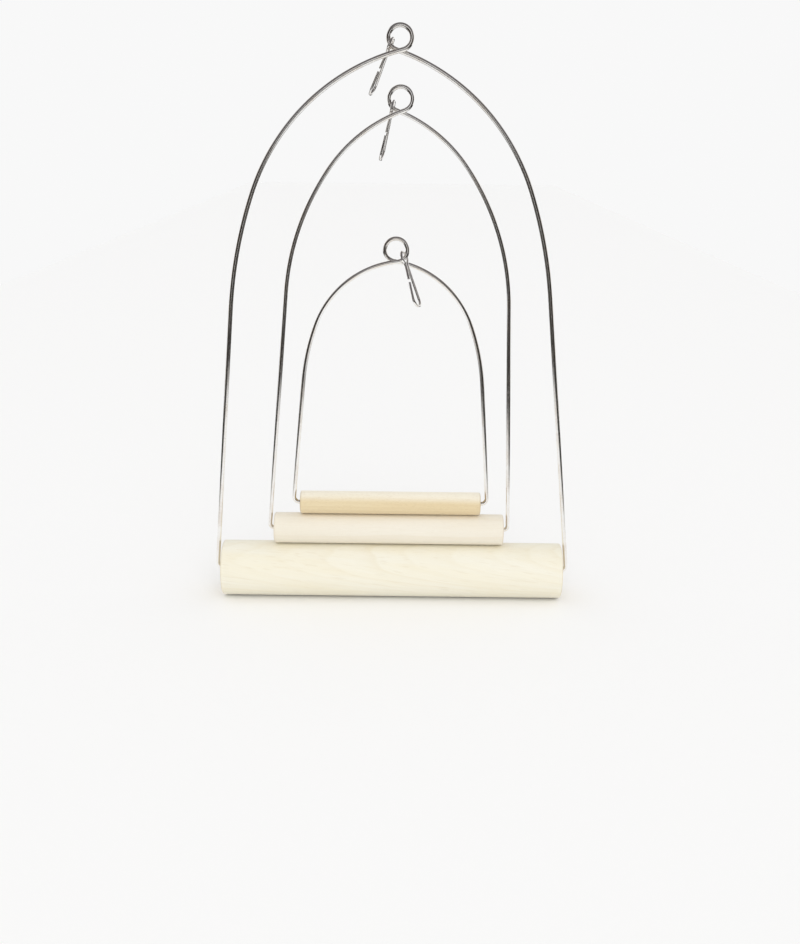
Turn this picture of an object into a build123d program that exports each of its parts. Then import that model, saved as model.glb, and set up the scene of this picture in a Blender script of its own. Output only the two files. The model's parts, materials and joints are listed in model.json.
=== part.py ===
"""A set of three bird swings: large, medium and small, standing one on the other.

Each swing is one bent wire bail, a round wooden perch that turns on the bail's inward stubs,
and a small gourd shaped hook of thinner wire that hangs in the bail's ring.
Millimetres, +Z up, X along the perches. The origin is the centre of the large swing's ring.
"""
import os
from dataclasses import dataclass
from math import acos, asin, atan2, cos, radians, sin, sqrt, tan

from build123d import *

# Large swing
large_perch_length = 180.0
large_perch_diameter = 29.3
large_wire_diameter = 2.2
large_arch_height = 260.8       # perch axis up to where the two arms cross
large_crown_shift = 1.4         # the crossing stands this far to the right of the perch's middle
large_crown_pitch = 16.7        # mean slope of the two arms at the crossing, in degrees
large_crown_skew = 1.8          # how much steeper the right arm is than the mean, in degrees
large_crown_radius = 103.5
large_crown_end = 70.4          # slope where the crown gives way to the shoulder, in degrees
large_shoulder_radius = 224.0
large_leg_standoff = 3.4        # perch end to the line of the leg, at the perch axis
large_ring_diameter = 13.1      # outside

# Medium swing
medium_perch_length = 120.8
medium_perch_diameter = 16.2
medium_wire_diameter = 2.0
medium_drop = 27.25             # from the large arms' crossing down to the medium one
medium_crown_shift = 3.9
medium_crown_pitch = 21.0       # in degrees
medium_crown_skew = 0.5         # in degrees
medium_crown_radius = 73.6
medium_crown_end = 55.0         # in degrees
medium_shoulder_radius = 121.5
medium_leg_standoff = 2.6
medium_ring_diameter = 12.9
medium_perch_shift = -1.8       # perch middle from the large perch's middle, along X

# Small swing
small_perch_length = 94.5
small_perch_diameter = 12.0
small_wire_diameter = 2.0
small_drop = 70.25              # from the medium arms' crossing down to the small one
small_crown_shift = 1.65
small_crown_pitch = 8.3         # in degrees
small_crown_skew = 1.1          # in degrees
small_crown_radius = 49.0
small_crown_end = 69.6          # in degrees
small_shoulder_radius = 114.0
small_leg_standoff = 3.6
small_ring_diameter = 13.0
small_perch_shift = -1.1

# Fits shared by the three swings
crossing_gap = 0.3              # between the two arms where they cross below the ring
stub_depth = 11.0               # wire inside each end of a perch
stub_lead = 0.4                 # straight wire between the bend and the perch end
hole_play = 0.1                 # radial
hole_end_gap = 1.0
perch_edge_radius = 0.9
stack_gap = 0.3                 # between one perch and the perch that it stands on

# Hook, the same on every swing
hook_length = 29.4              # outside
hook_wire_diameter = 1.3
hook_eye_radius = 3.0           # to the middle of the wire, as are the sizes below
hook_waist_half_width = 1.1
hook_waist_radius = 3.0
hook_flare = 8.0                # how far each leg leans out, in degrees
hook_gate_height = 16.0         # from the foot of the eye to the middle of the mouth
hook_mouth = 1.4                # gap between the two wire ends

# How each hook lies in its ring: place is the share of the half turn from the ring's top
# to its end, lean is sideways, tilt is out of the arch's plane, turn is about the hook's own
# length and brings its front leg to the left, and slack is along the tilt
large_hook_place = 0.77
large_hook_lean = 23.0          # in degrees
large_hook_tilt = 18.0          # in degrees
large_hook_turn = 10.0          # in degrees
large_hook_slack = 0.4
medium_hook_place = 0.855
medium_hook_lean = 13.0         # in degrees
medium_hook_tilt = 10.0         # in degrees
medium_hook_turn = 8.0          # in degrees
medium_hook_slack = 0.8
small_hook_place = 0.76
small_hook_lean = 17.5          # in degrees
small_hook_tilt = 21.0          # in degrees
small_hook_turn = 20.0          # in degrees
small_hook_slack = 0.75


@dataclass(frozen=True)
class Swing:
    """The sizes of one swing and the side of its ring that the hook hangs on."""

    name: str
    perch_length: float
    perch_diameter: float
    wire_diameter: float
    arch_height: float
    crown_shift: float
    crown_pitch: float
    crown_skew: float
    crown_radius: float
    crown_end: float
    shoulder_radius: float
    leg_standoff: float
    ring_diameter: float
    hook_side: int              # -1 left, behind the left arm; 1 right, before the right arm
    hook_place: float
    hook_lean: float
    hook_tilt: float
    hook_turn: float
    hook_slack: float

    @property
    def ring_radius(self):
        return (self.ring_diameter - self.wire_diameter) / 2

    @property
    def arm_tilt(self):
        """Angle of each arm out of the upright plane, so that the two pass at the crossing."""
        return asin((self.wire_diameter + crossing_gap) / 2 / self.arch_height)

    @property
    def ring_rise(self):
        """Crossing to the ring's centre, on the line that halves the two arms."""
        return self.ring_radius / cos(radians(self.crown_pitch))

    @property
    def ring_height(self):
        """Perch axis up to the ring's centre."""
        return (self.arch_height + self.ring_rise * cos(radians(self.crown_skew))) * cos(self.arm_tilt)

    @property
    def ring_shift(self):
        """Perch middle to the ring's centre, along X."""
        return self.crown_shift + self.ring_rise * sin(radians(self.crown_skew))

    def arm_pitch(self, side):
        """Slope of one arm at the crossing, in radians."""
        return radians(self.crown_pitch + side * self.crown_skew)


# Each perch stands on the next larger one, and each arch nests below the next larger one
medium_rise = (large_perch_diameter + medium_perch_diameter) / 2 + stack_gap
small_rise = medium_rise + (medium_perch_diameter + small_perch_diameter) / 2 + stack_gap
medium_arch_height = large_arch_height - medium_rise - medium_drop
small_arch_height = large_arch_height - small_rise - medium_drop - small_drop

large = Swing("large", large_perch_length, large_perch_diameter, large_wire_diameter,
              large_arch_height, large_crown_shift, large_crown_pitch, large_crown_skew,
              large_crown_radius, large_crown_end, large_shoulder_radius, large_leg_standoff,
              large_ring_diameter, -1, large_hook_place, large_hook_lean, large_hook_tilt,
              large_hook_turn, large_hook_slack)
medium = Swing("medium", medium_perch_length, medium_perch_diameter, medium_wire_diameter,
               medium_arch_height, medium_crown_shift, medium_crown_pitch, medium_crown_skew,
               medium_crown_radius, medium_crown_end, medium_shoulder_radius, medium_leg_standoff,
               medium_ring_diameter, -1, medium_hook_place, medium_hook_lean, medium_hook_tilt,
               medium_hook_turn, medium_hook_slack)
small = Swing("small", small_perch_length, small_perch_diameter, small_wire_diameter,
              small_arch_height, small_crown_shift, small_crown_pitch, small_crown_skew,
              small_crown_radius, small_crown_end, small_shoulder_radius, small_leg_standoff,
              small_ring_diameter, 1, small_hook_place, small_hook_lean, small_hook_tilt,
              small_hook_turn, small_hook_slack)

# Middles of the three perches
large_middle = Vector(-large.ring_shift, 0, -large.ring_height)
medium_middle = large_middle + Vector(medium_perch_shift, 0, medium_rise)
small_middle = large_middle + Vector(small_perch_shift, 0, small_rise)


def arm_plane(swing, middle, side):
    """Plane of one arm: local x points outwards along the perch, local y up the arm."""
    tilt = swing.arm_tilt
    return Plane(origin=middle, x_dir=(side, 0, 0), z_dir=(0, -side * cos(tilt), sin(tilt)))


def placed(plane, point):
    """A point given in a plane's own coordinates."""
    return plane.from_local_coords(point)


def headed(plane, direction):
    """A direction given in a plane's own coordinates."""
    return plane.from_local_coords(direction) - plane.origin


def ring_lead(swing, middle, side):
    """The crossing, where the arm past it runs into the ring, and its heading there."""
    plane = arm_plane(swing, middle, side)
    pitch = swing.arm_pitch(side)
    inward = Vector(-cos(pitch), sin(pitch))
    crossing = Vector(side * swing.crown_shift, swing.arch_height)
    start = crossing + inward * (swing.ring_radius * tan(radians(swing.crown_pitch)))
    return placed(plane, crossing), placed(plane, start), headed(plane, inward)


def draw_arm(swing, middle, side):
    """Stub, bend, leg, shoulder and crown of one arm, up to where it meets the ring."""
    plane = arm_plane(swing, middle, side)
    pitch = swing.arm_pitch(side)
    turn = radians(swing.crown_end)

    # The crown is an arc down from the crossing, and the shoulder carries on more openly
    crossing = Vector(side * swing.crown_shift, swing.arch_height)
    crown_centre = crossing - Vector(sin(pitch), cos(pitch)) * swing.crown_radius
    crown_end = crown_centre + Vector(sin(turn), cos(turn)) * swing.crown_radius
    shoulder_centre = crown_end - Vector(sin(turn), cos(turn)) * swing.shoulder_radius

    # The leg is the tangent from the shoulder to the corner on the perch axis
    corner = Vector(swing.perch_length / 2 + swing.leg_standoff, 0)
    reach = corner - shoulder_centre
    tangent_angle = atan2(reach.Y, reach.X) + acos(swing.shoulder_radius / reach.length)
    leg_top = shoulder_centre + Vector(cos(tangent_angle), sin(tangent_angle)) * swing.shoulder_radius
    upward = (leg_top - corner).normalized()

    # The bend turns the leg inwards, with its tangent points equally far from the corner
    bend_reach = swing.leg_standoff - stub_lead
    bend_low = corner - Vector(bend_reach, 0)
    bend_high = corner + upward * bend_reach
    stub_end = Vector(swing.perch_length / 2 - stub_depth, 0)

    stub_end, bend_low, bend_high, leg_top, crown_end = (
        placed(plane, point) for point in (stub_end, bend_low, bend_high, leg_top, crown_end))
    crossing, ring_start, _ = ring_lead(swing, middle, side)
    Line(stub_end, bend_low)
    TangentArc(bend_low, bend_high, tangent=headed(plane, Vector(1, 0)))
    Line(bend_high, leg_top)
    TangentArc(leg_top, crown_end, tangent=headed(plane, upward))
    TangentArc(crown_end, crossing, tangent=headed(plane, Vector(-cos(turn), sin(turn))))
    Line(crossing, ring_start)
    return stub_end


def ring_halves(swing, middle):
    """The ring's two half turns, from the left arm up to the top and down to the right arm.

    The top stands on the line that halves the two arms, where both half turns head straight
    across it, so the turn has no kink.
    """
    left_crossing, start, heading = ring_lead(swing, middle, -1)
    right_crossing, end, _ = ring_lead(swing, middle, 1)
    foot = (left_crossing + right_crossing) / 2
    skew = radians(swing.crown_skew)
    upward = Vector(sin(skew), 0, cos(skew))
    level = (start - foot).dot(upward)
    across = foot + upward * level - start
    slope = heading.dot(across) / heading.dot(upward)
    rise = sqrt(slope ** 2 + across.length ** 2) - slope
    top = foot + upward * (level + rise)
    up_half = Edge.make_tangent_arc(start, heading, top)
    down_half = Edge.make_tangent_arc(top, up_half.tangent_at(1), end)
    return up_half, down_half


def make_bail(swing, middle):
    """One wire: both arms and the ring turn between them."""
    with BuildPart() as bail:
        with BuildLine() as run:
            start = draw_arm(swing, middle, -1)
            add(ring_halves(swing, middle))
            draw_arm(swing, middle, 1)
        with BuildSketch(Plane(origin=start, z_dir=(-1, 0, 0))):
            Circle(swing.wire_diameter / 2)
        sweep(path=run.wires()[0])
    bail.part.label = swing.name + "_bail"
    return bail.part


def make_perch(swing, middle):
    """Round dowel with eased ends and a blind hole for each stub."""
    with BuildPart() as perch:
        with BuildSketch(Plane(origin=middle, z_dir=(1, 0, 0))):
            Circle(swing.perch_diameter / 2)
        extrude(amount=swing.perch_length / 2, both=True)
        fillet(perch.edges().filter_by(GeomType.CIRCLE), perch_edge_radius)
        for end in (perch.faces().sort_by(Axis.X)[0], perch.faces().sort_by(Axis.X)[-1]):
            with BuildSketch(Plane(end)):
                Circle(swing.wire_diameter / 2 + hole_play)
            extrude(amount=-(stub_depth + hole_end_gap), mode=Mode.SUBTRACT)
    perch.part.label = swing.name + "_perch"
    return perch.part


def hook_plane(swing, middle):
    """Plane of a hook: origin at the middle of its eye, local x down its length.

    The hook on the left hangs behind the left arm, and the one on the right before the right arm.
    """
    up_half, down_half = ring_halves(swing, middle)
    side = swing.hook_side
    if side < 0:
        seat = down_half.position_at(swing.hook_place)
    else:
        seat = up_half.position_at(1 - swing.hook_place)
    lean = radians(swing.hook_lean)
    tilt = radians(swing.hook_tilt)
    turn = radians(swing.hook_turn)
    hanging = Vector(side * sin(lean), 0, -cos(lean))
    outward = Vector(0, -side, 0)
    length_way = hanging * cos(tilt) + outward * sin(tilt)
    flat_way = outward * cos(tilt) - hanging * sin(tilt)
    centre = seat + flat_way * swing.hook_slack
    width_way = flat_way * cos(turn) + length_way.cross(flat_way) * sin(turn)
    return Plane(origin=centre, x_dir=length_way, z_dir=length_way.cross(width_way))


def make_hook(swing, middle):
    """Gourd shaped wire hook: small eye, narrow waist, wide crown and a split in one leg."""
    flare = radians(hook_flare)
    eye = hook_eye_radius
    waist = hook_waist_radius
    waist_y = hook_waist_half_width + waist
    waist_x = sqrt((eye + waist) ** 2 - waist_y ** 2)
    eye_end = Vector(waist_x, waist_y) * (eye / (eye + waist))
    leg_foot = Vector(waist_x + waist * sin(flare), waist_y - waist * cos(flare))
    crown_reach = hook_length - eye - hook_wire_diameter
    crown = (cos(flare) * leg_foot.Y + sin(flare) * (crown_reach - leg_foot.X)) / (1 + sin(flare))
    crown_x = crown_reach - crown
    leg_head = Vector(crown_x - crown * sin(flare), crown * cos(flare))
    along = (leg_head - leg_foot).normalized()
    gate_x = hook_gate_height - eye - hook_wire_diameter / 2
    gate = leg_foot + along * ((gate_x - leg_foot.X) / along.X)
    low_end = gate - along * (hook_mouth / 2)
    high_end = gate + along * (hook_mouth / 2)

    # The split leg is the front one, and the other leg is its mirror image
    plane = hook_plane(swing, middle)
    front = swing.hook_side
    split_foot, split_eye, split_head, low_end, high_end = (
        placed(plane, Vector(point.X, front * point.Y))
        for point in (leg_foot, eye_end, leg_head, low_end, high_end))
    whole_foot, whole_eye, whole_head = (
        placed(plane, Vector(point.X, -front * point.Y)) for point in (leg_foot, eye_end, leg_head))
    out_of_eye = Vector(eye_end.Y, front * eye_end.X)
    along = Vector(along.X, front * along.Y)
    with BuildPart() as hook:
        with BuildLine() as run:
            Line(low_end, split_foot)
            TangentArc(split_foot, split_eye, tangent=headed(plane, -along))
            ThreePointArc(split_eye, placed(plane, Vector(-eye, 0)), whole_eye)
            TangentArc(whole_eye, whole_foot, tangent=headed(plane, out_of_eye))
            Line(whole_foot, whole_head)
            ThreePointArc(whole_head, placed(plane, Vector(crown_x + crown, 0)), split_head)
            Line(split_head, high_end)
        with BuildSketch(Plane(origin=low_end, z_dir=headed(plane, along))):
            Circle(hook_wire_diameter / 2)
        sweep(path=run.wires()[0])
    hook.part.label = swing.name + "_hook"
    return hook.part


os.makedirs("parts", exist_ok=True)
for swing, middle in ((large, large_middle), (medium, medium_middle), (small, small_middle)):
    for piece in (make_bail(swing, middle), make_perch(swing, middle), make_hook(swing, middle)):
        export_step(piece, "parts/" + piece.label + ".step")
    swivel = hook_plane(swing, middle)
    print(swing.name, "perch middle", middle, "ring centre height", round(swing.ring_height, 3),
          "hook swivel", swivel.origin, "axis", swivel.z_dir)
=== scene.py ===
"""Looks for a nested set of three bird swings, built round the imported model.

Each swing has a bail of bright bent wire, a turned wooden perch on the bail's two stubs,
and a small gourd shaped hook in the bail's ring. The scene is in metres, and its origin is
the centre of the large swing's ring. Sizes whose names end in _mm are millimetres.
"""
import json
import logging
import math
from dataclasses import dataclass
from enum import Enum

import bmesh
import bpy
from mathutils import Matrix, Vector

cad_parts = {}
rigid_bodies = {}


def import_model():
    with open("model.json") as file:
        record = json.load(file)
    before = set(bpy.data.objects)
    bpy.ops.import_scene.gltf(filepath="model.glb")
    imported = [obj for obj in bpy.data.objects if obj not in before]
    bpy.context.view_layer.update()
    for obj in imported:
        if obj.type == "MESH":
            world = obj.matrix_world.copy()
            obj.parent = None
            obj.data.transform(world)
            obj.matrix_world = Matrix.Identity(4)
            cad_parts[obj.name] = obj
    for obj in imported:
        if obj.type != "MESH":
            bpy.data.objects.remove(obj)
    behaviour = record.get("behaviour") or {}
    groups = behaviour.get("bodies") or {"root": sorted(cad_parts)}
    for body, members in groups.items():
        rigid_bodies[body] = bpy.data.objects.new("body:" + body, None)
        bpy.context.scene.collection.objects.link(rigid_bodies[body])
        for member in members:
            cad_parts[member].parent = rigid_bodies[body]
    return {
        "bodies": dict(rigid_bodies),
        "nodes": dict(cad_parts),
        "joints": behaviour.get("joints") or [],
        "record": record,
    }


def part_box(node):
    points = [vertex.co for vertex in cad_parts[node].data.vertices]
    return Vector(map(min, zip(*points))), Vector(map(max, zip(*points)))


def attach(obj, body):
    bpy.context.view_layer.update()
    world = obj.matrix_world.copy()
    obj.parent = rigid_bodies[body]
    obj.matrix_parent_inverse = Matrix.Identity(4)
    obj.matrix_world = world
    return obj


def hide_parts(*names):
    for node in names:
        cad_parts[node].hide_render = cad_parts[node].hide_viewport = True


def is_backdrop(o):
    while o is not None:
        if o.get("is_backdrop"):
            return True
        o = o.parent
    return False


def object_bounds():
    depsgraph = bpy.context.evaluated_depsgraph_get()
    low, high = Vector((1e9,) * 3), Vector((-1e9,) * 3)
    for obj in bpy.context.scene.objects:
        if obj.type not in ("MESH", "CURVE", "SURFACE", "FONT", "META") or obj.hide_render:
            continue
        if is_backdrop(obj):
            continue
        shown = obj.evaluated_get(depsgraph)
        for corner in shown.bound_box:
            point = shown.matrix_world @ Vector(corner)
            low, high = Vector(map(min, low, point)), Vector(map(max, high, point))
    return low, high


log = logging.getLogger("bird_swings")

MM = 0.001
WIRE_SIDES = 28
DOWEL_SIDES = 112
MERGE_GAP = 0.002 * MM

Colour = tuple[float, float, float]
# The two values between which a mask changes from 0 to 1
Fade = tuple[float, float]


class Side(Enum):
    """The left or right arm of a bail, or leg of a hook, as the camera sees it."""

    LEFT = -1
    RIGHT = 1


class Slot(Enum):
    """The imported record's material slots."""

    BAIL_WIRE = "bail_wire"
    HOOK_WIRE = "hook_wire"
    LARGE_WOOD = "large_wood"
    MEDIUM_WOOD = "medium_wood"
    SMALL_WOOD = "small_wood"


class Bench:
    """Places nodes in one tree and joins them."""

    def __init__(self, tree: bpy.types.NodeTree) -> None:
        """Keeps the tree that the nodes go into; only a group has a source and a sink."""
        self.tree = tree
        self.source: bpy.types.NodeOutputs | None = None
        self.sink: bpy.types.NodeInputs | None = None

    @classmethod
    def for_group(cls, name: str, kind: str, inputs: dict[str, str], outputs: dict[str, str]) -> "Bench":
        """Starts a new node group.

        Args:
            name: The group's name.
            kind: "GeometryNodeTree" or "ShaderNodeTree".
            inputs: Socket type of each input, by the input's name.
            outputs: Socket type of each output, by the output's name.

        Returns:
            A bench on the group, with its input and output nodes placed.
        """
        tree = bpy.data.node_groups.new(name, kind)
        for socket, socket_type in inputs.items():
            tree.interface.new_socket(socket, in_out="INPUT", socket_type=socket_type)
        for socket, socket_type in outputs.items():
            tree.interface.new_socket(socket, in_out="OUTPUT", socket_type=socket_type)
        bench = cls(tree)
        bench.source = tree.nodes.new("NodeGroupInput").outputs
        bench.sink = tree.nodes.new("NodeGroupOutput").inputs
        return bench

    def feed(self, socket: bpy.types.NodeSocket, value: object) -> None:
        """Links an output to an input, or sets the input's own value.

        Args:
            socket: The input.
            value: An output socket, or a plain value.
        """
        if isinstance(value, bpy.types.NodeSocket):
            self.tree.links.new(value, socket)
        else:
            socket.default_value = value

    def add(self, kind: str, inputs: dict[str, object], **settings: object) -> bpy.types.NodeOutputs:
        """Adds a node.

        Args:
            kind: The node's type.
            inputs: Values or output sockets, by the input's identifier.
            settings: The node's own properties.

        Returns:
            The node's outputs.
        """
        node = self.tree.nodes.new(kind)
        for name, value in settings.items():
            setattr(node, name, value)
        sockets = {socket.identifier: socket for socket in node.inputs}
        for identifier, value in inputs.items():
            self.feed(sockets[identifier], value)
        return node.outputs

    def math(self, operation: str, *values: object) -> bpy.types.NodeSocket:
        """A number worked out from other numbers, in the order that the operation takes them."""
        inputs = dict(zip(("Value", "Value_001", "Value_002"), values))
        return self.add("ShaderNodeMath", inputs, operation=operation)["Value"]

    def vector(self, operation: str, *values: object, scale: object = 1.0) -> bpy.types.NodeOutputs:
        """Adds a vector operation.

        Args:
            operation: The operation.
            values: Its one or two vectors.
            scale: The factor of the operation SCALE.

        Returns:
            The outputs Vector and Value.
        """
        inputs = dict(zip(("Vector", "Vector_001"), values))
        if operation == "SCALE":
            inputs["Scale"] = scale
        return self.add("ShaderNodeVectorMath", inputs, operation=operation)

    def noise(self, vector: object, detail: float = 2.0, rough: float = 0.5) -> bpy.types.NodeSocket:
        """Noise between 0 and 1 at a vector, in cells of size 1."""
        inputs = {"Vector": vector, "Scale": 1.0, "Detail": detail, "Roughness": rough}
        return self.add("ShaderNodeTexNoise", inputs)["Fac"]

    def spread(self, value: object, low: float, high: float, to_low: float = 0.0,
               to_high: float = 1.0) -> bpy.types.NodeSocket:
        """Maps low..high smoothly to to_low..to_high and holds it there outside."""
        inputs = {"Value": value, "From Min": low, "From Max": high, "To Min": to_low, "To Max": to_high}
        return self.add("ShaderNodeMapRange", inputs, interpolation_type="SMOOTHSTEP")["Result"]

    def blend(self, factor: object, first: object, second: object) -> bpy.types.NodeSocket:
        """Mixes two colours.

        Args:
            factor: The second colour's share.
            first: A socket, or red, green and blue.
            second: The same.

        Returns:
            The mixed colour.
        """
        colours = [value if isinstance(value, bpy.types.NodeSocket) else (*value, 1.0)
                   for value in (first, second)]
        node = self.tree.nodes.new("ShaderNodeMix")
        node.data_type = "RGBA"
        sockets = {socket.identifier: socket for socket in node.inputs}
        for identifier, value in zip(("Factor_Float", "A_Color", "B_Color"), (factor, *colours)):
            self.feed(sockets[identifier], value)
        return next(socket for socket in node.outputs if socket.identifier == "Result_Color")


class MeshTool:
    """A geometry node tree that turns a plain polyline into a finished mesh."""

    def __init__(self, tree: bpy.types.NodeTree) -> None:
        """Keeps the tree and the identifiers of its inputs."""
        self.tree = tree
        self.sockets = {item.name: item.identifier for item in tree.interface.items_tree
                        if item.in_out == "INPUT"}

    def make(self, name: str, line: bpy.types.Mesh, values: dict[str, object]) -> bpy.types.Object:
        """Runs the tree on a polyline and keeps the result as a plain mesh.

        Args:
            name: Name of the new piece.
            line: The polyline.
            values: The tree's inputs, by name.

        Returns:
            The piece, at the origin, with its faces turned outwards.
        """
        carrier = bpy.data.objects.new(name + "_line", line)
        bpy.context.scene.collection.objects.link(carrier)
        modifier = carrier.modifiers.new("shape", "NODES")
        modifier.node_group = self.tree
        for socket, value in values.items():
            modifier[self.sockets[socket]] = value
        bpy.context.view_layer.update()
        evaluated = carrier.evaluated_get(bpy.context.evaluated_depsgraph_get())
        mesh = bpy.data.meshes.new_from_object(evaluated)
        carrier.modifiers.remove(modifier)
        bpy.data.objects.remove(carrier)

        shell = bmesh.new()
        shell.from_mesh(mesh)
        bmesh.ops.recalc_face_normals(shell, faces=shell.faces)
        shell.to_mesh(mesh)
        shell.free()
        mesh.name = name
        piece = bpy.data.objects.new(name, mesh)
        bpy.context.scene.collection.objects.link(piece)
        return piece


def bent_wire_tool() -> MeshTool:
    """The tree that lays round wire along a polyline.

    Returns:
        The tool. Each point of its polyline carries "swell", the share of the full thickness there.
    """
    bench = Bench.for_group(
        "Bent wire", "GeometryNodeTree",
        {"Line": "NodeSocketGeometry", "Thickness": "NodeSocketFloat", "Sides": "NodeSocketInt",
         "Finish": "NodeSocketMaterial"},
        {"Wire": "NodeSocketGeometry"})
    swell = bench.add("GeometryNodeInputNamedAttribute", {"Name": "swell"}, data_type="FLOAT")["Attribute"]
    run = bench.add("GeometryNodeSplineParameter", {})
    middle = bench.add("GeometryNodeMeshToCurve", {"Mesh": bench.source["Line"]})["Curve"]
    middle = bench.add("GeometryNodeStoreNamedAttribute",
                       {"Geometry": middle, "Name": "along", "Value": run["Length"]},
                       data_type="FLOAT", domain="POINT")["Geometry"]
    radius = bench.math("MULTIPLY", bench.source["Thickness"], 0.5)
    section = bench.add("GeometryNodeCurvePrimitiveCircle",
                        {"Resolution": bench.source["Sides"], "Radius": radius})["Curve"]
    wire = bench.add("GeometryNodeCurveToMesh",
                     {"Curve": middle, "Profile Curve": section, "Scale": swell, "Fill Caps": True})["Mesh"]
    wire = bench.add("GeometryNodeSetShadeSmooth", {"Geometry": wire})["Geometry"]
    wire = bench.add("GeometryNodeRealizeInstances", {"Geometry": wire})["Geometry"]
    wire = bench.add("GeometryNodeSetMaterial",
                     {"Geometry": wire, "Material": bench.source["Finish"]})["Geometry"]
    bench.feed(bench.sink["Wire"], wire)
    return MeshTool(bench.tree)


def turned_dowel_tool() -> MeshTool:
    """The tree that turns a half section about the X axis and sands it by hand.

    Returns:
        The tool. Its polyline runs in the XZ plane, and each point carries "end", which is 1 on
        end grain and 0 on the side.
    """
    bench = Bench.for_group(
        "Turned dowel", "GeometryNodeTree",
        {"Section": "NodeSocketGeometry", "Sides": "NodeSocketInt", "Middle": "NodeSocketVector",
         "Sanding": "NodeSocketFloat", "Sanding shift": "NodeSocketFloat", "Finish": "NodeSocketMaterial"},
        {"Dowel": "NodeSocketGeometry"})
    section = bench.source["Section"]
    points = bench.add("GeometryNodeAttributeDomainSize", {"Geometry": section})["Point Count"]
    rows = bench.math("ADD", bench.source["Sides"], 1)
    grid = bench.add("GeometryNodeMeshGrid",
                     {"Size X": 1.0, "Size Y": 1.0, "Vertices X": points, "Vertices Y": rows})

    # The grid's vertices run along Y first, so each column is one point of the section
    index = bench.add("GeometryNodeInputIndex", {})["Index"]
    column = bench.math("FLOOR", bench.math("DIVIDE", bench.math("ADD", index, 0.5), rows))
    row = bench.math("SUBTRACT", index, bench.math("MULTIPLY", column, rows))
    angle = bench.math("DIVIDE", bench.math("MULTIPLY", row, 2 * math.pi), bench.source["Sides"])
    here = bench.add("GeometryNodeInputPosition", {})["Position"]
    drawn = bench.add("GeometryNodeSampleIndex",
                      {"Geometry": section, "Value": here, "Index": column},
                      data_type="FLOAT_VECTOR", domain="POINT")["Value"]
    grain = bench.add("GeometryNodeInputNamedAttribute", {"Name": "end"}, data_type="FLOAT")["Attribute"]
    end = bench.add("GeometryNodeSampleIndex",
                    {"Geometry": section, "Value": grain, "Index": column},
                    data_type="FLOAT", domain="POINT")["Value"]
    parts = bench.add("ShaderNodeSeparateXYZ", {"Vector": drawn})

    # Hand sanding leaves shallow flats along the side
    turn_y = bench.math("SINE", angle)
    turn_z = bench.math("COSINE", angle)
    flats_along, flats_round = 22.0, 1.3
    along = bench.math("MULTIPLY", parts["X"], flats_along)
    spot = bench.add("ShaderNodeCombineXYZ", {
        "X": bench.math("ADD", along, bench.source["Sanding shift"]),
        "Y": bench.math("MULTIPLY", turn_y, flats_round),
        "Z": bench.math("MULTIPLY", turn_z, flats_round)})["Vector"]
    flat = bench.math("MULTIPLY", bench.noise(spot), bench.source["Sanding"])
    side = bench.math("SUBTRACT", 1.0, end)
    radius = bench.math("SUBTRACT", parts["Z"], bench.math("MULTIPLY", flat, side))
    place = bench.add("ShaderNodeCombineXYZ", {
        "X": parts["X"], "Y": bench.math("MULTIPLY", radius, turn_y),
        "Z": bench.math("MULTIPLY", radius, turn_z)})["Vector"]
    place = bench.vector("ADD", place, bench.source["Middle"])["Vector"]
    dowel = bench.add("GeometryNodeStoreNamedAttribute",
                      {"Geometry": grid["Mesh"], "Name": "end", "Value": end},
                      data_type="FLOAT", domain="POINT")["Geometry"]
    dowel = bench.add("GeometryNodeSetPosition", {"Geometry": dowel, "Position": place})["Geometry"]
    dowel = bench.add("GeometryNodeMergeByDistance", {"Geometry": dowel, "Distance": MERGE_GAP})["Geometry"]
    dowel = bench.add("GeometryNodeSetShadeSmooth", {"Geometry": dowel})["Geometry"]
    dowel = bench.add("GeometryNodeRealizeInstances", {"Geometry": dowel})["Geometry"]
    dowel = bench.add("GeometryNodeSetMaterial",
                      {"Geometry": dowel, "Material": bench.source["Finish"]})["Geometry"]
    bench.feed(bench.sink["Dowel"], dowel)
    return MeshTool(bench.tree)


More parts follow.
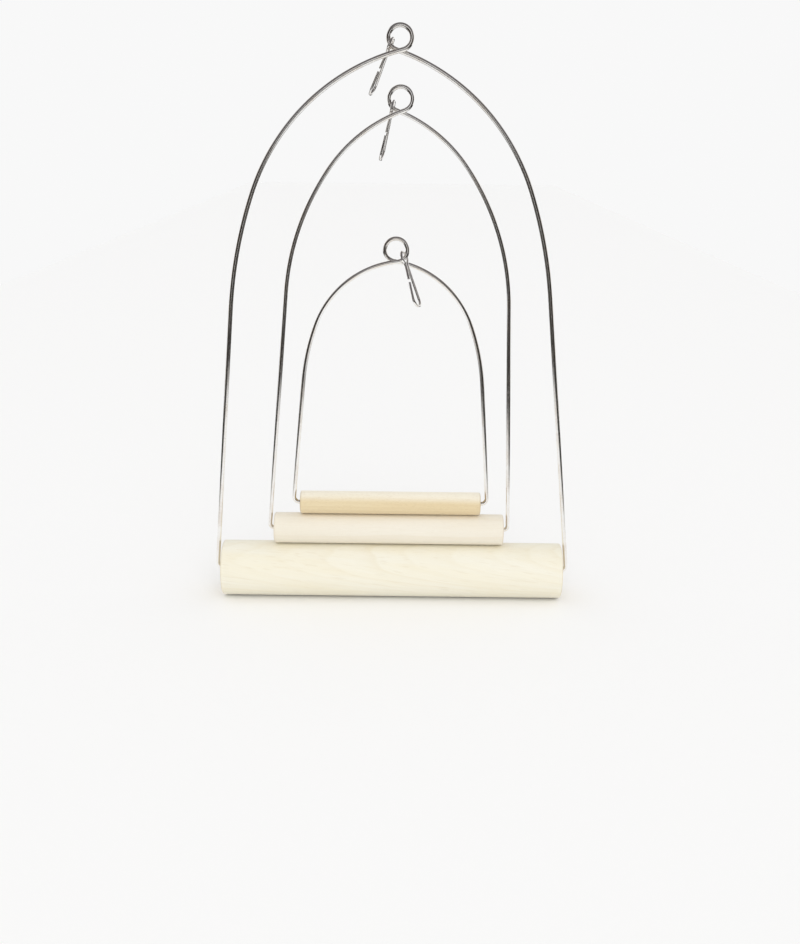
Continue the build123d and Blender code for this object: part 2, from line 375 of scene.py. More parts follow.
def wood_grain_group() -> bpy.types.NodeTree:
    """The growth rings, fibres and flecks that the three woods share.

    Returns:
        A group whose outputs run from 0 to 1: pale sapwood outside the pale band radius, which on the small
            perch
        lies along the top as a painted highlight, late wood, slow change of tone, fine fibre, short dark
        flecks and surface relief.
    """
    bench = Bench.for_group(
        "Wood grain", "ShaderNodeTree",
        {"Place": "NodeSocketVector", "Pith": "NodeSocketVector", "Trunk": "NodeSocketVector",
         "Ring spacing": "NodeSocketFloat", "Ring wobble": "NodeSocketFloat",
         "Fibre width": "NodeSocketFloat", "Fleck length": "NodeSocketFloat",
         "Pale band radius": "NodeSocketFloat"},
        {"Sapwood and highlight": "NodeSocketFloat", "Late wood": "NodeSocketFloat", "Tone": "NodeSocketFloat",
         "Fibre": "NodeSocketFloat", "Fleck": "NodeSocketFloat", "Relief": "NodeSocketFloat"})
    trunk = bench.source["Trunk"]
    from_pith = bench.vector("SUBTRACT", bench.source["Place"], bench.source["Pith"])["Vector"]
    along = bench.vector("DOT_PRODUCT", from_pith, trunk)["Value"]
    lengthwise = bench.vector("SCALE", trunk, scale=along)["Vector"]
    across = bench.vector("SUBTRACT", from_pith, lengthwise)["Vector"]

    def stretched(width: object, length: object) -> bpy.types.NodeSocket:
        """Measures the place in long cells.

        Args:
            width: A cell's width across the trunk.
            length: Its length along the trunk.

        Returns:
            The place in cells.
        """
        wide = bench.vector("SCALE", across, scale=bench.math("DIVIDE", 1.0, width))["Vector"]
        long = bench.vector("SCALE", lengthwise, scale=bench.math("DIVIDE", 1.0, length))["Vector"]
        return bench.vector("ADD", wide, long)["Vector"]

    # The distance from the pith wanders a little, and past the pale band radius the wood turns pale: sapwood,
    # and on the small perch a painted highlight along its top
    wave_width, wave_length, pale_edge_blur = 14 * MM, 90 * MM, 1.6 * MM
    wave = bench.noise(stretched(wave_width, wave_length), detail=3.0)
    wave = bench.math("SUBTRACT", wave, 0.5)
    distance = bench.math("MULTIPLY_ADD", wave, bench.source["Ring wobble"],
                          bench.vector("LENGTH", across)["Value"])
    past_pale_edge = bench.math("SUBTRACT", distance, bench.source["Pale band radius"])
    sapwood_and_highlight = bench.spread(past_pale_edge, -pale_edge_blur, pale_edge_blur)

    # Growth rings darken slowly towards the late wood and then start again
    late_power, late_drop, year_strength = 2.6, (1.0, 0.86), (0.5, 1.3)
    ring = bench.math("DIVIDE", distance, bench.source["Ring spacing"])
    share = bench.math("FRACT", ring)
    year = bench.add("ShaderNodeTexWhiteNoise", {"W": bench.math("FLOOR", ring)},
                     noise_dimensions="1D")["Value"]
    late = bench.math("MULTIPLY", bench.math("POWER", share, late_power), bench.spread(share, *late_drop))
    late = bench.math("MULTIPLY", late, bench.spread(year, 0.0, 1.0, *year_strength))

    # Fibres and flecks are far longer than wide
    fibre_slimness, fleck_slimness = 38.0, 0.07
    tone_width, tone_length, late_relief = 7 * MM, 75 * MM, 0.5
    fibre_fade, tone_fade, fleck_fade = (0.28, 0.74), (0.3, 0.72), (0.6, 0.74)
    fibre_width = bench.source["Fibre width"]
    fibre_length = bench.math("MULTIPLY", fibre_width, fibre_slimness)
    fibre = bench.noise(stretched(fibre_width, fibre_length), detail=4.0, rough=0.62)
    fibre = bench.spread(fibre, *fibre_fade)
    tone = bench.spread(bench.noise(stretched(tone_width, tone_length)), *tone_fade)
    fleck_length = bench.source["Fleck length"]
    fleck_width = bench.math("MULTIPLY", fleck_length, fleck_slimness)
    fleck = bench.noise(stretched(fleck_width, fleck_length), detail=1.0)
    fleck = bench.spread(fleck, *fleck_fade)
    relief = bench.math("SUBTRACT", bench.math("MULTIPLY_ADD", late, late_relief, fibre), fleck)

    for name, value in (("Sapwood and highlight", sapwood_and_highlight), ("Late wood", late), ("Tone", tone), ("Fibre", fibre),
                        ("Fleck", fleck), ("Relief", relief)):
        bench.feed(bench.sink[name], value)
    return bench.tree


def drawn_wire_group() -> bpy.types.NodeTree:
    """The drawing lines, thin plating and tiny pits that the two wires share.

    Returns:
        A group whose outputs run from 0 to 1: lines along the wire, clouds in the plating, pits
        and surface relief.
    """
    bench = Bench.for_group(
        "Drawn wire", "ShaderNodeTree",
        {"Place": "NodeSocketVector", "Along": "NodeSocketFloat", "Cloud size": "NodeSocketFloat"},
        {"Line": "NodeSocketFloat", "Cloud": "NodeSocketFloat", "Pit": "NodeSocketFloat",
         "Relief": "NodeSocketFloat"})
    place = bench.source["Place"]

    def cells(size: object) -> bpy.types.NodeSocket:
        """The place in cells of one size."""
        return bench.vector("SCALE", place, scale=bench.math("DIVIDE", 1.0, size))["Vector"]

    line_length, line_width, pit_width, line_relief = 9 * MM, 0.9 * MM, 0.28 * MM, 0.4
    line_fade, cloud_fade, pit_fade = (0.25, 0.75), (0.34, 0.7), (0.68, 0.8)
    slide = bench.math("DIVIDE", bench.source["Along"], line_length)
    line = bench.add("ShaderNodeTexNoise",
                     {"Vector": cells(line_width), "W": slide, "Scale": 1.0, "Detail": 3.0},
                     noise_dimensions="4D")["Fac"]
    line = bench.spread(line, *line_fade)
    cloud = bench.noise(cells(bench.source["Cloud size"]), detail=4.0, rough=0.6)
    cloud = bench.spread(cloud, *cloud_fade)
    pit = bench.spread(bench.noise(cells(pit_width), detail=1.0), *pit_fade)
    relief = bench.math("SUBTRACT", bench.math("MULTIPLY", line, line_relief), pit)
    for name, value in (("Line", line), ("Cloud", cloud), ("Pit", pit), ("Relief", relief)):
        bench.feed(bench.sink[name], value)
    return bench.tree


def new_material(name: str) -> tuple[bpy.types.Material, Bench, bpy.types.Node]:
    """An empty material.

    Args:
        name: The material's name.

    Returns:
        The material, a bench on its tree and its Principled shader.
    """
    material = bpy.data.materials.new(name)
    material.use_nodes = True
    shader = material.node_tree.nodes["Principled BSDF"]
    return material, Bench(material.node_tree), shader


@dataclass(frozen=True)
class WoodFinish:
    """Bare sanded wood of one perch; shares and strengths run from 0 to 1."""

    slot: Slot
    early: Colour
    late: Colour
    tone: Colour
    fleck: Colour
    end_grain: Colour
    pith_mm: tuple[float, float, float]
    slope_deg: float
    ring_spacing_mm: float
    ring_wobble_mm: float
    fibre_width_mm: float
    fleck_length_mm: float
    late_share: float
    tone_share: float
    fibre_share: float
    fleck_share: float
    rough_low: float = 0.5
    rough_high: float = 0.68
    sheen: float = 0.2
    gloss: float = 0.4
    sapwood_and_highlight: Colour = (0.93, 0.875, 0.735)
    pale_band_radius_mm: float = 1000.0
    end_share: float = 0.7
    sheen_rough: float = 0.35
    relief_strength: float = 0.35
    relief_mm: float = 0.06

    def build(self, grain: bpy.types.NodeTree) -> bpy.types.Material:
        """Makes the material.

        Args:
            grain: The shared wood grain group.

        Returns:
            The material.
        """
        material, bench, shader = new_material(self.slot.value)
        slope = math.radians(self.slope_deg)
        place = bench.add("ShaderNodeTexCoord", {})["Object"]
        node = bench.tree.nodes.new("ShaderNodeGroup")
        node.node_tree = grain
        bench.feed(node.inputs["Place"], place)
        node.inputs["Pith"].default_value = [value * MM for value in self.pith_mm]
        node.inputs["Trunk"].default_value = (math.cos(slope), 0.0, math.sin(slope))
        node.inputs["Ring spacing"].default_value = self.ring_spacing_mm * MM
        node.inputs["Ring wobble"].default_value = self.ring_wobble_mm * MM
        node.inputs["Fibre width"].default_value = self.fibre_width_mm * MM
        node.inputs["Fleck length"].default_value = self.fleck_length_mm * MM
        node.inputs["Pale band radius"].default_value = self.pale_band_radius_mm * MM
        end = bench.add("ShaderNodeAttribute", {}, attribute_name="end")["Fac"]

        def share(output: str, strength: float) -> bpy.types.NodeSocket:
            """One of the grain's outputs at a strength."""
            return bench.math("MULTIPLY", node.outputs[output], strength)

        colour = bench.blend(share("Late wood", self.late_share), self.early, self.late)
        colour = bench.blend(share("Tone", self.tone_share), colour, self.tone)
        # Pale sapwood; on the small perch it is set along the top as a painted highlight
        colour = bench.blend(node.outputs["Sapwood and highlight"], colour, self.sapwood_and_highlight)
        colour = bench.blend(share("Fibre", self.fibre_share), colour, self.late)
        colour = bench.blend(share("Fleck", self.fleck_share), colour, self.fleck)
        colour = bench.blend(bench.math("MULTIPLY", end, self.end_share), colour, self.end_grain)
        bench.feed(shader.inputs["Base Color"], colour)
        rough = bench.spread(node.outputs["Fibre"], 0.0, 1.0, self.rough_low, self.rough_high)
        bench.feed(shader.inputs["Roughness"], rough)
        shader.inputs["Specular IOR Level"].default_value = self.gloss
        shader.inputs["Sheen Weight"].default_value = self.sheen
        shader.inputs["Sheen Roughness"].default_value = self.sheen_rough
        bump = bench.add("ShaderNodeBump", {"Strength": self.relief_strength, "Distance": self.relief_mm * MM,
                                            "Height": node.outputs["Relief"]})
        bench.feed(shader.inputs["Normal"], bump["Normal"])
        return material


@dataclass(frozen=True)
class WireFinish:
    """Bright plated wire; shares and strengths run from 0 to 1."""

    slot: Slot
    bright: Colour
    warm: Colour
    pit: Colour
    cloud_mm: float
    rough_low: float
    rough_high: float
    pit_share: float = 0.6
    relief_strength: float = 0.25
    relief_mm: float = 0.02

    def build(self, drawn: bpy.types.NodeTree) -> bpy.types.Material:
        """Makes the material.

        Args:
            drawn: The shared drawn wire group.

        Returns:
            The material.
        """
        material, bench, shader = new_material(self.slot.value)
        node = bench.tree.nodes.new("ShaderNodeGroup")
        node.node_tree = drawn
        bench.feed(node.inputs["Place"], bench.add("ShaderNodeTexCoord", {})["Object"])
        along = bench.add("ShaderNodeAttribute", {}, attribute_name="along")["Fac"]
        bench.feed(node.inputs["Along"], along)
        node.inputs["Cloud size"].default_value = self.cloud_mm * MM

        colour = bench.blend(node.outputs["Cloud"], self.bright, self.warm)
        colour = bench.blend(bench.math("MULTIPLY", node.outputs["Pit"], self.pit_share), colour, self.pit)
        dull = bench.math("MULTIPLY_ADD", node.outputs["Cloud"], 0.5,
                          bench.math("MULTIPLY", node.outputs["Line"], 0.5))
        bench.feed(shader.inputs["Base Color"], colour)
        rough = bench.spread(dull, 0.0, 1.0, self.rough_low, self.rough_high)
        bench.feed(shader.inputs["Roughness"], rough)
        shader.inputs["Metallic"].default_value = 1.0
        bump = bench.add("ShaderNodeBump", {"Strength": self.relief_strength, "Distance": self.relief_mm * MM,
                                            "Height": node.outputs["Relief"]})
        bench.feed(shader.inputs["Normal"], bump["Normal"])
        return material


class WirePath:
    """The middle line of a bent wire: straight runs and arcs that carry on smoothly."""

    SAGITTA = 0.008 * MM
    WIDEST_STEP = math.radians(6.0)
    # A cut end's dome, as a share of the thickness, and its swell at shares of that dome
    DOME = 0.22
    DOME_SHAPE = ((0.0, 0.66), (0.3, 0.86), (0.65, 0.97), (1.0, 1.0))

    def __init__(self, start: Vector, heading: Vector) -> None:
        """Starts at a point with a heading."""
        self.points = [start.copy()]
        self.heading = heading.normalized()

    def line_to(self, end: Vector) -> None:
        """Runs straight to a point."""
        self.heading = (end - self.points[-1]).normalized()
        self.points.append(end.copy())

    def arc_to(self, end: Vector) -> None:
        """Turns to a point on the arc that leaves along the present heading.

        Args:
            end: Where the arc ends.
        """
        start, ahead = self.points[-1], self.heading
        chord = end - start
        aside = chord - ahead * chord.dot(ahead)
        inward = aside.normalized()
        half_turn = math.atan2(aside.length, chord.dot(ahead))
        radius = chord.length / (2 * math.sin(half_turn))
        step = min(2 * math.acos(1 - self.SAGITTA / radius), self.WIDEST_STEP)
        count = max(2, math.ceil(2 * half_turn / step))
        for number in range(1, count + 1):
            turn = 2 * half_turn * number / count
            self.points.append(start + ahead * (radius * math.sin(turn))
                               + inward * (radius * (1 - math.cos(turn))))
        self.heading = (ahead * math.cos(2 * half_turn) + inward * math.sin(2 * half_turn)).normalized()

    def line_mesh(self, name: str, thickness: float) -> bpy.types.Mesh:
        """The polyline for the bent wire tool, with its two cut ends slightly domed.

        Args:
            name: The mesh's name.
            thickness: The wire's.

        Returns:
            A mesh of vertices and edges with the "swell" attribute.
        """
        dome = self.DOME * thickness
        first_way = (self.points[1] - self.points[0]).normalized()
        last_way = (self.points[-2] - self.points[-1]).normalized()
        head = [(self.points[0] + first_way * (dome * along), swell)
                for along, swell in self.DOME_SHAPE]
        tail = [(self.points[-1] + last_way * (dome * along), swell)
                for along, swell in reversed(self.DOME_SHAPE)]
        run = head + [(point, 1.0) for point in self.points[1:-1]] + tail

        mesh = bpy.data.meshes.new(name + "_line")
        mesh.from_pydata([point for point, _ in run], [(n, n + 1) for n in range(len(run) - 1)], [])
        swell = mesh.attributes.new("swell", "FLOAT", "POINT")
        swell.data.foreach_set("value", [value for _, value in run])
        return mesh


@dataclass(frozen=True)
class SwingPlace:
    """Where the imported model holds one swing, and the sizes that it gives."""

    ring_centre: Vector
    ring_radius: float
    wire: float
    perch_middle: Vector
    perch_length: float
    perch_radius: float
    hook_eye: Vector
    hook_way: Vector
    hook_axis: Vector
    hook_wire: float

    @classmethod
    def read(cls, frame: dict, name: str) -> "SwingPlace":
        """Reads one swing from the frame.

        Args:
            name: "large", "medium" or "small".

        Returns:
            The swing's place.
        """
        mounts = {mount["name"]: mount for mount in frame["record"]["mounts"]}
        joints = {joint["name"]: joint for joint in frame["joints"]}
        ring = mounts[name + "_ring"]
        loop = mounts[name + "_hook_loop"]
        swivel = joints[name + "_hook_swing"]
        wire = ring["dims"]["length_mm"] * MM
        low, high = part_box(name + "_perch")
        eye = Vector(swivel["pos_m"])
        return cls(
            ring_centre=Vector(ring["pos_m"]), ring_radius=ring["dims"]["r_mm"] * MM + wire / 2, wire=wire,
            perch_middle=Vector(joints[name + "_perch_spin"]["pos_m"]),
            perch_length=high.x - low.x, perch_radius=(high.z - low.z) / 2,
            hook_eye=eye, hook_way=(Vector(loop["pos_m"]) - eye).normalized(),
            hook_axis=Vector(swivel["axis"]).normalized(), hook_wire=loop["dims"]["length_mm"] * MM)


@dataclass
class Swing:
    """One swing: bail, perch and hook.

    The crown is the arc down each side of the crossing under the ring, and the shoulder is the
    more open arc that carries on from it to the straight leg. Slopes are in degrees; the right
    arm is steeper at the crossing than the mean by the skew, and the left arm less steep.
    """

    name: str
    wood: Slot
    crown_pitch: float
    crown_skew: float
    crown_radius_mm: float
    crown_end: float
    shoulder_radius_mm: float
    leg_standoff_mm: float
    hook_front: Side
    sanding_shift: float
    crossing_gap_mm: float = 0.3
    stub_depth_mm: float = 11.0
    stub_lead_mm: float = 0.4
    hole_play_mm: float = 0.1
    hole_end_gap_mm: float = 1.0
    hole_rim_mm: float = 0.2
    edge_radius_mm: float = 0.9
    sanding_mm: float = 0.06
    hook_length_mm: float = 29.4
    hook_eye_radius_mm: float = 3.0
    hook_waist_half_width_mm: float = 1.1
    hook_waist_radius_mm: float = 3.0
    hook_flare: float = 8.0
    hook_gate_height_mm: float = 16.0
    hook_mouth_mm: float = 1.4
    face_rows: int = 6
    edge_rows: int = 6
    side_row_mm: float = 2.5

    def bail_path(self, place: SwingPlace) -> WirePath:
        """The bail's line: left arm, ring and right arm.

        Args:
            place: The swing's place.

        Returns:
            The path, from the left stub to the right stub.
        """
        mean, skew = math.radians(self.crown_pitch), math.radians(self.crown_skew)
        turn = math.radians(self.crown_end)
        ring_rise = place.ring_radius / math.cos(mean)
        height = place.ring_centre.z - place.perch_middle.z - ring_rise * math.cos(skew)
        shift = place.ring_centre.x - place.perch_middle.x - ring_rise * math.sin(skew)
        lean = math.asin((place.wire + self.crossing_gap_mm * MM) / 2 / height)
        crown, shoulder = self.crown_radius_mm * MM, self.shoulder_radius_mm * MM
        standoff = self.leg_standoff_mm * MM

        def arm(side: Side) -> list[Vector]:
            """Works out one arm from its stub to the ring.

            Args:
                side: Which arm.

            Returns:
                Its stub end, lower and upper end of the bend, leg top, crown end, crossing, ring
                start and heading into the ring.
            """
            pitch = mean + side.value * skew
            outward = Vector((side.value, 0, 0))
            up = Vector((0, side.value * math.sin(lean), math.cos(lean)))
            crossing = Vector((side.value * shift, height))
            crown_centre = crossing - Vector((math.sin(pitch), math.cos(pitch))) * crown
            turn_way = Vector((math.sin(turn), math.cos(turn)))
            crown_foot = crown_centre + turn_way * crown
            shoulder_centre = crown_foot - turn_way * shoulder
            corner = Vector((place.perch_length / 2 + standoff, 0))
            reach = corner - shoulder_centre
            angle = math.atan2(reach.y, reach.x) + math.acos(shoulder / reach.length)
            leg_top = shoulder_centre + Vector((math.cos(angle), math.sin(angle))) * shoulder
            bend = standoff - self.stub_lead_mm * MM
            bend_low = corner - Vector((bend, 0))
            bend_high = corner + (leg_top - corner).normalized() * bend
            stub_end = Vector((place.perch_length / 2 - self.stub_depth_mm * MM, 0))
            inward = Vector((-math.cos(pitch), math.sin(pitch)))
            ring_start = crossing + inward * (place.ring_radius * math.tan(mean))
            flat = (stub_end, bend_low, bend_high, leg_top, crown_foot, crossing, ring_start)
            solid = [place.perch_middle + outward * point.x + up * point.y for point in flat]
            return solid + [outward * inward.x + up * inward.y]

        # The ring's top is on the line that halves the two arms
        *left, heading = arm(Side.LEFT)
        *right, _ = arm(Side.RIGHT)
        foot = (left[-2] + right[-2]) / 2
        upward = Vector((math.sin(skew), 0, math.cos(skew)))
        level = (left[-1] - foot).dot(upward)
        across = foot + upward * level - left[-1]
        slope = heading.dot(across) / heading.dot(upward)
        ring_top = foot + upward * (level + math.hypot(slope, across.length) - slope)

        stub_end, bend_low, bend_high, leg_top, crown_foot, crossing, ring_start = left
        path = WirePath(stub_end, bend_low - stub_end)
        path.line_to(bend_low)
        path.arc_to(bend_high)
        path.line_to(leg_top)
        path.arc_to(crown_foot)
        path.arc_to(crossing)
        path.line_to(ring_start)
        path.arc_to(ring_top)
        stub_end, bend_low, bend_high, leg_top, crown_foot, crossing, ring_start = right
        path.arc_to(ring_start)
        path.line_to(crossing)
        path.arc_to(crown_foot)
        path.arc_to(leg_top)
        path.line_to(bend_high)
        path.arc_to(bend_low)
        path.line_to(stub_end)
        return path

    def hook_path(self, place: SwingPlace) -> WirePath:
        """The hook's line, from the lower end at the mouth round the eye to the upper end.

        Args:
            place: The swing's place.

        Returns:
            The path.
        """
        flare = math.radians(self.hook_flare)
        eye, waist = self.hook_eye_radius_mm * MM, self.hook_waist_radius_mm * MM
        waist_y = self.hook_waist_half_width_mm * MM + waist
        waist_x = math.sqrt((eye + waist) ** 2 - waist_y ** 2)
        eye_end = Vector((waist_x, waist_y)) * (eye / (eye + waist))
        foot = Vector((waist_x + waist * math.sin(flare), waist_y - waist * math.cos(flare)))
        reach = self.hook_length_mm * MM - eye - place.hook_wire
        crown = (math.cos(flare) * foot.y + math.sin(flare) * (reach - foot.x)) / (1 + math.sin(flare))
        head = Vector((reach - crown - crown * math.sin(flare), crown * math.cos(flare)))
        along = (head - foot).normalized()
        gate_x = self.hook_gate_height_mm * MM - eye - place.hook_wire / 2
        gate = foot + along * ((gate_x - foot.x) / along.x)
        half_mouth = along * (self.hook_mouth_mm * MM / 2)
        width_way = place.hook_axis.cross(place.hook_way)

        def leg(point: Vector, side: int) -> Vector:
            """A point of the front leg (1) or of its mirror image (-1)."""
            return (place.hook_eye + place.hook_way * point.x
                    + width_way * (self.hook_front.value * side * point.y))

        path = WirePath(leg(gate - half_mouth, 1), leg(foot, 1) - leg(gate, 1))
        path.line_to(leg(foot, 1))
        path.arc_to(leg(eye_end, 1))
        path.arc_to(leg(eye_end, -1))
        path.arc_to(leg(foot, -1))
        path.line_to(leg(head, -1))
        path.arc_to(leg(head, 1))
        path.line_to(leg(gate + half_mouth, 1))
        return path

    def perch_section(self, place: SwingPlace) -> bpy.types.Mesh:
        """The perch's half section: two drilled ends with eased edges, and the side between them.

        Args:
            place: The swing's place.

        Returns:
            A polyline in the XZ plane with the "end" attribute.
        """
        half, radius = place.perch_length / 2, place.perch_radius
        hole = place.wire / 2 + self.hole_play_mm * MM
        bottom = half - (self.stub_depth_mm + self.hole_end_gap_mm) * MM
        rim, edge = self.hole_rim_mm * MM, self.edge_radius_mm * MM
        end = [(bottom, 0.0, 1.0), (bottom, hole, 1.0), (half - rim, hole, 1.0), (half, hole + rim, 1.0)]
        for row in range(1, self.face_rows):
            end.append((half, hole + rim + (radius - edge - hole - rim) * row / self.face_rows, 1.0))
        for row in range(self.edge_rows + 1):
            turn = math.pi / 2 * row / self.edge_rows
            end.append((half - edge + edge * math.cos(turn), radius - edge + edge * math.sin(turn),
                        1.0 - row / self.edge_rows))
        side_rows = round((place.perch_length - 2 * edge) / (self.side_row_mm * MM))
        step = (place.perch_length - 2 * edge) / side_rows
        side = [(half - edge - step * row, radius, 0.0) for row in range(1, side_rows)]
        run = end + side + [(-x, z, grain) for x, z, grain in reversed(end)]

        mesh = bpy.data.meshes.new(self.name + "_section")
        mesh.from_pydata([(x, 0.0, z) for x, z, _ in run], [(n, n + 1) for n in range(len(run) - 1)], [])
        grain = mesh.attributes.new("end", "FLOAT", "POINT")
        grain.data.foreach_set("value", [value for _, _, value in run])
        return mesh

    def build(self, frame: dict, wire_tool: MeshTool, dowel_tool: MeshTool,
              finishes: dict[Slot, bpy.types.Material]) -> list[bpy.types.Object]:
        """Makes the three pieces and puts each in its node's place.

        Args:
            wire_tool: Lays wire along a line.
            dowel_tool: Turns a half section.
            finishes: The material of each slot.

        Returns:
            The bail, the perch and the hook.
        """
        place = SwingPlace.read(frame, self.name)
        bail_name, perch_name, hook_name = (self.name + end for end in ("_bail", "_perch", "_hook"))
        bail = wire_tool.make(
            bail_name + "_wire", self.bail_path(place).line_mesh(bail_name, place.wire),
            {"Thickness": place.wire, "Sides": WIRE_SIDES, "Finish": finishes[Slot.BAIL_WIRE]})
        perch = dowel_tool.make(
            perch_name + "_dowel", self.perch_section(place),
            {"Sides": DOWEL_SIDES, "Middle": place.perch_middle, "Sanding": self.sanding_mm * MM,
             "Sanding shift": self.sanding_shift, "Finish": finishes[self.wood]})
        hook = wire_tool.make(
            hook_name + "_wire", self.hook_path(place).line_mesh(hook_name, place.hook_wire),
            {"Thickness": place.hook_wire, "Sides": WIRE_SIDES, "Finish": finishes[Slot.HOOK_WIRE]})
        for piece, node, slot in ((bail, bail_name, Slot.BAIL_WIRE), (perch, perch_name, self.wood),
                                  (hook, hook_name, Slot.HOOK_WIRE)):
            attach(piece, node)
            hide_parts(node)
        return [bail, perch, hook]


@dataclass(frozen=True)
class Studio:
    """Pale table, soft light and the photograph's camera.

    The fades are distances in metres on the table, and parts of a direction in the room that the
    wires mirror. The sun's and the camera's angles are in degrees.
    """

    table_colour: Colour = (0.965, 0.963, 0.959)
    table_half_width: float = 0.6
    table_front: float = -0.75
    table_back: float = 4.0
    table_rough: float = 0.8
    table_gloss: float = 0.1
    # The table's painted shade, seen only in the wires' reflections
    dusk: Colour = (0.04, 0.036, 0.032)
    dusk_fade: Fade = (0.2, 0.33)
    dusk_stretch: tuple[float, float, float] = (1.0, 0.75, 0.0)
    camera_place_mm: tuple[float, float, float] = (2.22, -557.9, -35.87)
    camera_pitch: float = 17.52
    camera_roll: float = 0.654
    focal_px: float = 1120.0
    long_side_px: float = 944.0
    sensor_mm: float = 36.0
    near_clip: float = 0.01
    sky_low: float = 0.6
    sky_high: float = 0.95
    backdrop_level: float = 0.94
    wall_turn: Fade = (-0.1, 0.25)
    wall_top: Fade = (0.7, 0.4)
    front_turn: Fade = (-0.1, -0.3)
    front_level: float = 0.8
    window_foot: Fade = (-0.02, 0.04)
    window_head: Fade = (0.5, 0.34)
    window_side: Fade = (0.3, 0.16)
    floor_edge: Fade = (-0.15, -0.22)
    floor_side: Fade = (0.6, 0.4)
    room: Colour = (0.032, 0.026, 0.022)
    ceiling: Colour = (0.14, 0.13, 0.135)
    ceiling_rise: Fade = (0.1, 0.5)
    sun_level: float = 0.85
    sun_tilt: float = 54.0
    sun_turn: float = 6.0
    sun_spread: float = 50.0

    def add_table(self, height: float) -> None:
        """Makes the table top, whose colour the wires mirror as pale near the swings and painted darker
        further away, a painted shade for the light falling off.

        Args:
            height: Its height, where the large perch stands.
        """
        mesh = bpy.data.meshes.new("table")
        mesh.from_pydata([(-self.table_half_width, self.table_front, height),
                          (self.table_half_width, self.table_front, height),
                          (self.table_half_width, self.table_back, height),
                          (-self.table_half_width, self.table_back, height)], [], [(0, 1, 2, 3)])
        material, bench, shader = new_material("table_top")
        place = bench.add("ShaderNodeTexCoord", {})["Object"]
        away = bench.vector("MULTIPLY", place, self.dusk_stretch)["Vector"]
        away = bench.vector("LENGTH", away)["Value"]
        mirrored = bench.add("ShaderNodeLightPath", {})["Is Glossy Ray"]
        # Painted shade: in reflections only, the table's colour darkens away from the swings
        dusk = bench.math("MULTIPLY", mirrored, bench.spread(away, *self.dusk_fade))
        bench.feed(shader.inputs["Base Color"], bench.blend(dusk, self.table_colour, self.dusk))
        shader.inputs["Roughness"].default_value = self.table_rough
        shader.inputs["Specular IOR Level"].default_value = self.table_gloss
        mesh.materials.append(material)
        table = bpy.data.objects.new("table", mesh)
        bpy.context.scene.collection.objects.link(table)
        table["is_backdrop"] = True

    def add_sun(self) -> None:
        """Makes the broad light from the front, which the wires do not mirror."""
        lamp = bpy.data.lights.new("window_light", "SUN")
        lamp.energy = self.sun_level
        lamp.angle = math.radians(self.sun_spread)
        sun = bpy.data.objects.new("window_light", lamp)
        sun.rotation_euler = (math.radians(self.sun_tilt), 0, math.radians(self.sun_turn))
        sun.visible_glossy = False
        bpy.context.scene.collection.objects.link(sun)

    def mirrored_room(self, bench: Bench, way: bpy.types.NodeOutputs) -> bpy.types.NodeSocket:
        """The room that the wires mirror.

        Args:
            bench: A bench on the world's tree.
            way: The X, Y and Z parts of a direction.

        Returns:
            The colour that way: dim, but for a pale wall behind the swings, and a window and a pale
            floor in front of them.
        """
        aside = bench.math("ABSOLUTE", way["X"])

        def both(first: bpy.types.NodeSocket, second: bpy.types.NodeSocket) -> bpy.types.NodeSocket:
            """Where two masks meet."""
            return bench.math("MULTIPLY", first, second)

        wall = both(bench.spread(way["Y"], *self.wall_turn), bench.spread(way["Z"], *self.wall_top))
        window = both(bench.spread(way["Z"], *self.window_foot), bench.spread(way["Z"], *self.window_head))
        window = both(bench.spread(aside, *self.window_side), window)
        floor = both(bench.spread(aside, *self.floor_side), bench.spread(way["Z"], *self.floor_edge))
        front = bench.math("MULTIPLY", bench.math("MAXIMUM", window, floor), self.front_level)
        front = both(front, bench.spread(way["Y"], *self.front_turn))
        room = bench.blend(bench.spread(way["Z"], *self.ceiling_rise), self.room, self.ceiling)
        return bench.blend(bench.math("MAXIMUM", wall, front), room, (self.backdrop_level,) * 3)

    def add_world(self) -> None:
        """Makes the pale sky, the plain backdrop that the camera sees and the room in the wires."""
        world = bpy.data.worlds.new("studio")
        world.use_nodes = True
        bpy.context.scene.world = world
        bench = Bench(world.node_tree)
        ray = bench.add("ShaderNodeLightPath", {})
        direction = bench.add("ShaderNodeTexCoord", {})["Generated"]
        way = bench.add("ShaderNodeSeparateXYZ", {"Vector": direction})
        height = bench.math("MAXIMUM", way["Z"], 0.0)
        sky = bench.blend(height, (self.sky_low,) * 3, (self.sky_high,) * 3)
        seen = bench.blend(ray["Is Glossy Ray"], sky, self.mirrored_room(bench, way))
        backdrop = bench.math("MAXIMUM", ray["Is Camera Ray"], ray["Is Transmission Ray"])
        seen = bench.blend(backdrop, seen, (self.backdrop_level,) * 3)
        bench.feed(world.node_tree.nodes["Background"].inputs["Color"], seen)

    def add_camera(self) -> None:
        """Makes the camera that fits the photograph."""
        lens = bpy.data.cameras.new("camera")
        lens.sensor_width = self.sensor_mm
        lens.lens = self.focal_px * self.sensor_mm / self.long_side_px
        lens.clip_start = self.near_clip
        camera = bpy.data.objects.new("camera", lens)
        look = Matrix.Rotation(math.radians(90 - self.camera_pitch), 4, "X")
        roll = Matrix.Rotation(math.radians(self.camera_roll), 4, "Z")
        camera.matrix_world = Matrix.Translation(Vector(self.camera_place_mm) * MM) @ look @ roll
        bpy.context.scene.collection.objects.link(camera)
        bpy.context.scene.camera = camera


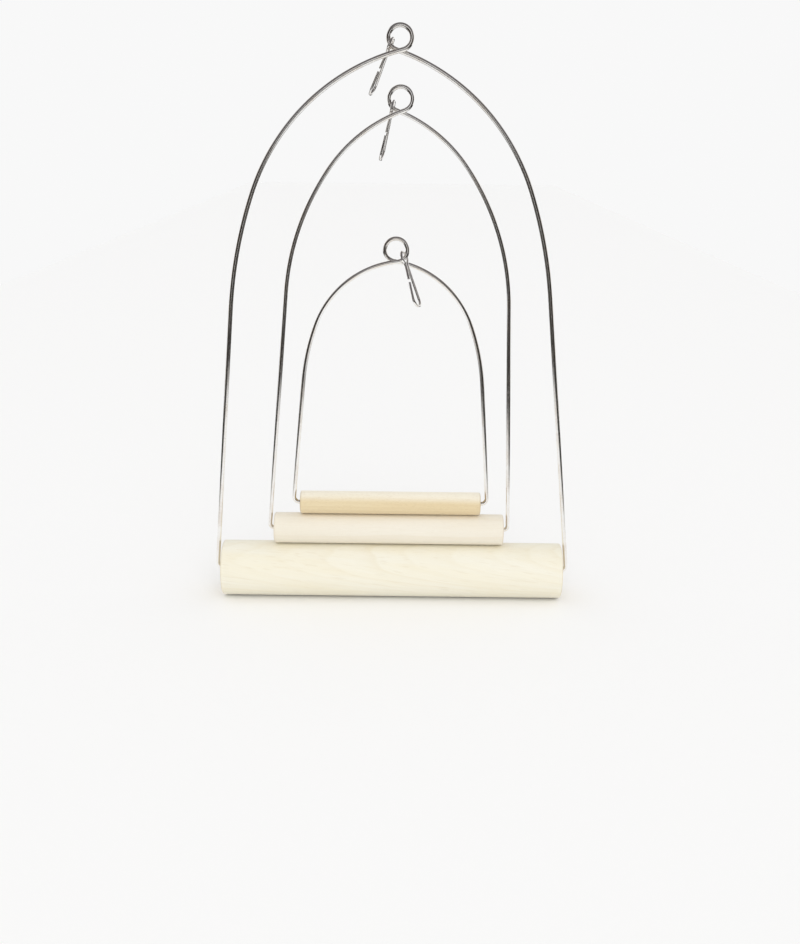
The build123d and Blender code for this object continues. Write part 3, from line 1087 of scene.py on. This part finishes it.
LARGE_WOOD = WoodFinish(
    slot=Slot.LARGE_WOOD, early=(0.905, 0.873, 0.755), late=(0.77, 0.67, 0.46), tone=(0.88, 0.81, 0.61),
    fleck=(0.62, 0.5, 0.3), end_grain=(0.72, 0.61, 0.42), pith_mm=(0.0, 34.0, -310.0), slope_deg=-9.0,
    ring_spacing_mm=2.6, ring_wobble_mm=5.0, fibre_width_mm=0.45, fleck_length_mm=13.0, late_share=0.3,
    tone_share=0.4, fibre_share=0.1, fleck_share=0.12)
MEDIUM_WOOD = WoodFinish(
    slot=Slot.MEDIUM_WOOD, early=(0.89, 0.84, 0.73), late=(0.78, 0.67, 0.5), tone=(0.86, 0.79, 0.65),
    fleck=(0.64, 0.52, 0.36), end_grain=(0.68, 0.56, 0.4), pith_mm=(0.0, 40.0, -262.0), slope_deg=1.5,
    ring_spacing_mm=3.2, ring_wobble_mm=4.0, fibre_width_mm=0.35, fleck_length_mm=2.4, late_share=0.25,
    tone_share=0.45, fibre_share=0.12, fleck_share=0.15)
# The pith and pale band radius put a pale band along the small perch's top, a painted highlight
SMALL_WOOD = WoodFinish(
    slot=Slot.SMALL_WOOD, early=(0.82, 0.69, 0.45), late=(0.66, 0.49, 0.27), tone=(0.77, 0.61, 0.36),
    fleck=(0.5, 0.34, 0.17), end_grain=(0.5, 0.36, 0.19), pith_mm=(0.0, 12.0, -300.0), slope_deg=-0.3,
    ring_spacing_mm=2.2, ring_wobble_mm=2.0, fibre_width_mm=0.3, fleck_length_mm=1.8, late_share=0.3,
    tone_share=0.5, fibre_share=0.16, fleck_share=0.35, rough_low=0.34, rough_high=0.46, sheen=0.4,
    pale_band_radius_mm=76.2)
BAIL_WIRE = WireFinish(
    slot=Slot.BAIL_WIRE, bright=(0.95, 0.94, 0.92), warm=(0.87, 0.82, 0.76), pit=(0.36, 0.3, 0.25),
    cloud_mm=11.0, rough_low=0.08, rough_high=0.2)
HOOK_WIRE = WireFinish(
    slot=Slot.HOOK_WIRE, bright=(0.95, 0.94, 0.93), warm=(0.87, 0.83, 0.78), pit=(0.36, 0.32, 0.28),
    cloud_mm=6.0, rough_low=0.07, rough_high=0.18)

SWINGS = (
    Swing("large", Slot.LARGE_WOOD, crown_pitch=16.7, crown_skew=1.8, crown_radius_mm=103.5,
          crown_end=70.4, shoulder_radius_mm=224.0, leg_standoff_mm=3.4, hook_front=Side.LEFT,
          sanding_shift=3.1),
    Swing("medium", Slot.MEDIUM_WOOD, crown_pitch=21.0, crown_skew=0.5, crown_radius_mm=73.6,
          crown_end=55.0, shoulder_radius_mm=121.5, leg_standoff_mm=2.6, hook_front=Side.LEFT,
          sanding_shift=17.4),
    Swing("small", Slot.SMALL_WOOD, crown_pitch=8.3, crown_skew=1.1, crown_radius_mm=49.0,
          crown_end=69.6, shoulder_radius_mm=114.0, leg_standoff_mm=3.6, hook_front=Side.RIGHT,
          sanding_shift=29.8),
)


def main() -> None:
    """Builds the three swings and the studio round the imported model."""
    logging.basicConfig(level=logging.INFO, format="%(name)s: %(message)s")
    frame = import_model()
    cad_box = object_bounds()
    bpy.context.scene.view_settings.view_transform = "Standard"

    grain, drawn = wood_grain_group(), drawn_wire_group()
    finishes = {wood.slot: wood.build(grain) for wood in (LARGE_WOOD, MEDIUM_WOOD, SMALL_WOOD)}
    finishes.update({wire.slot: wire.build(drawn) for wire in (BAIL_WIRE, HOOK_WIRE)})
    wire_tool, dowel_tool = bent_wire_tool(), turned_dowel_tool()
    for swing in SWINGS:
        for piece in swing.build(frame, wire_tool, dowel_tool, finishes):
            log.info("%s: %d faces", piece.name, len(piece.data.polygons))

    studio = Studio()
    studio.add_table(cad_box[0].z)
    studio.add_sun()
    studio.add_world()
    studio.add_camera()


if __name__ == "__main__":
    main()
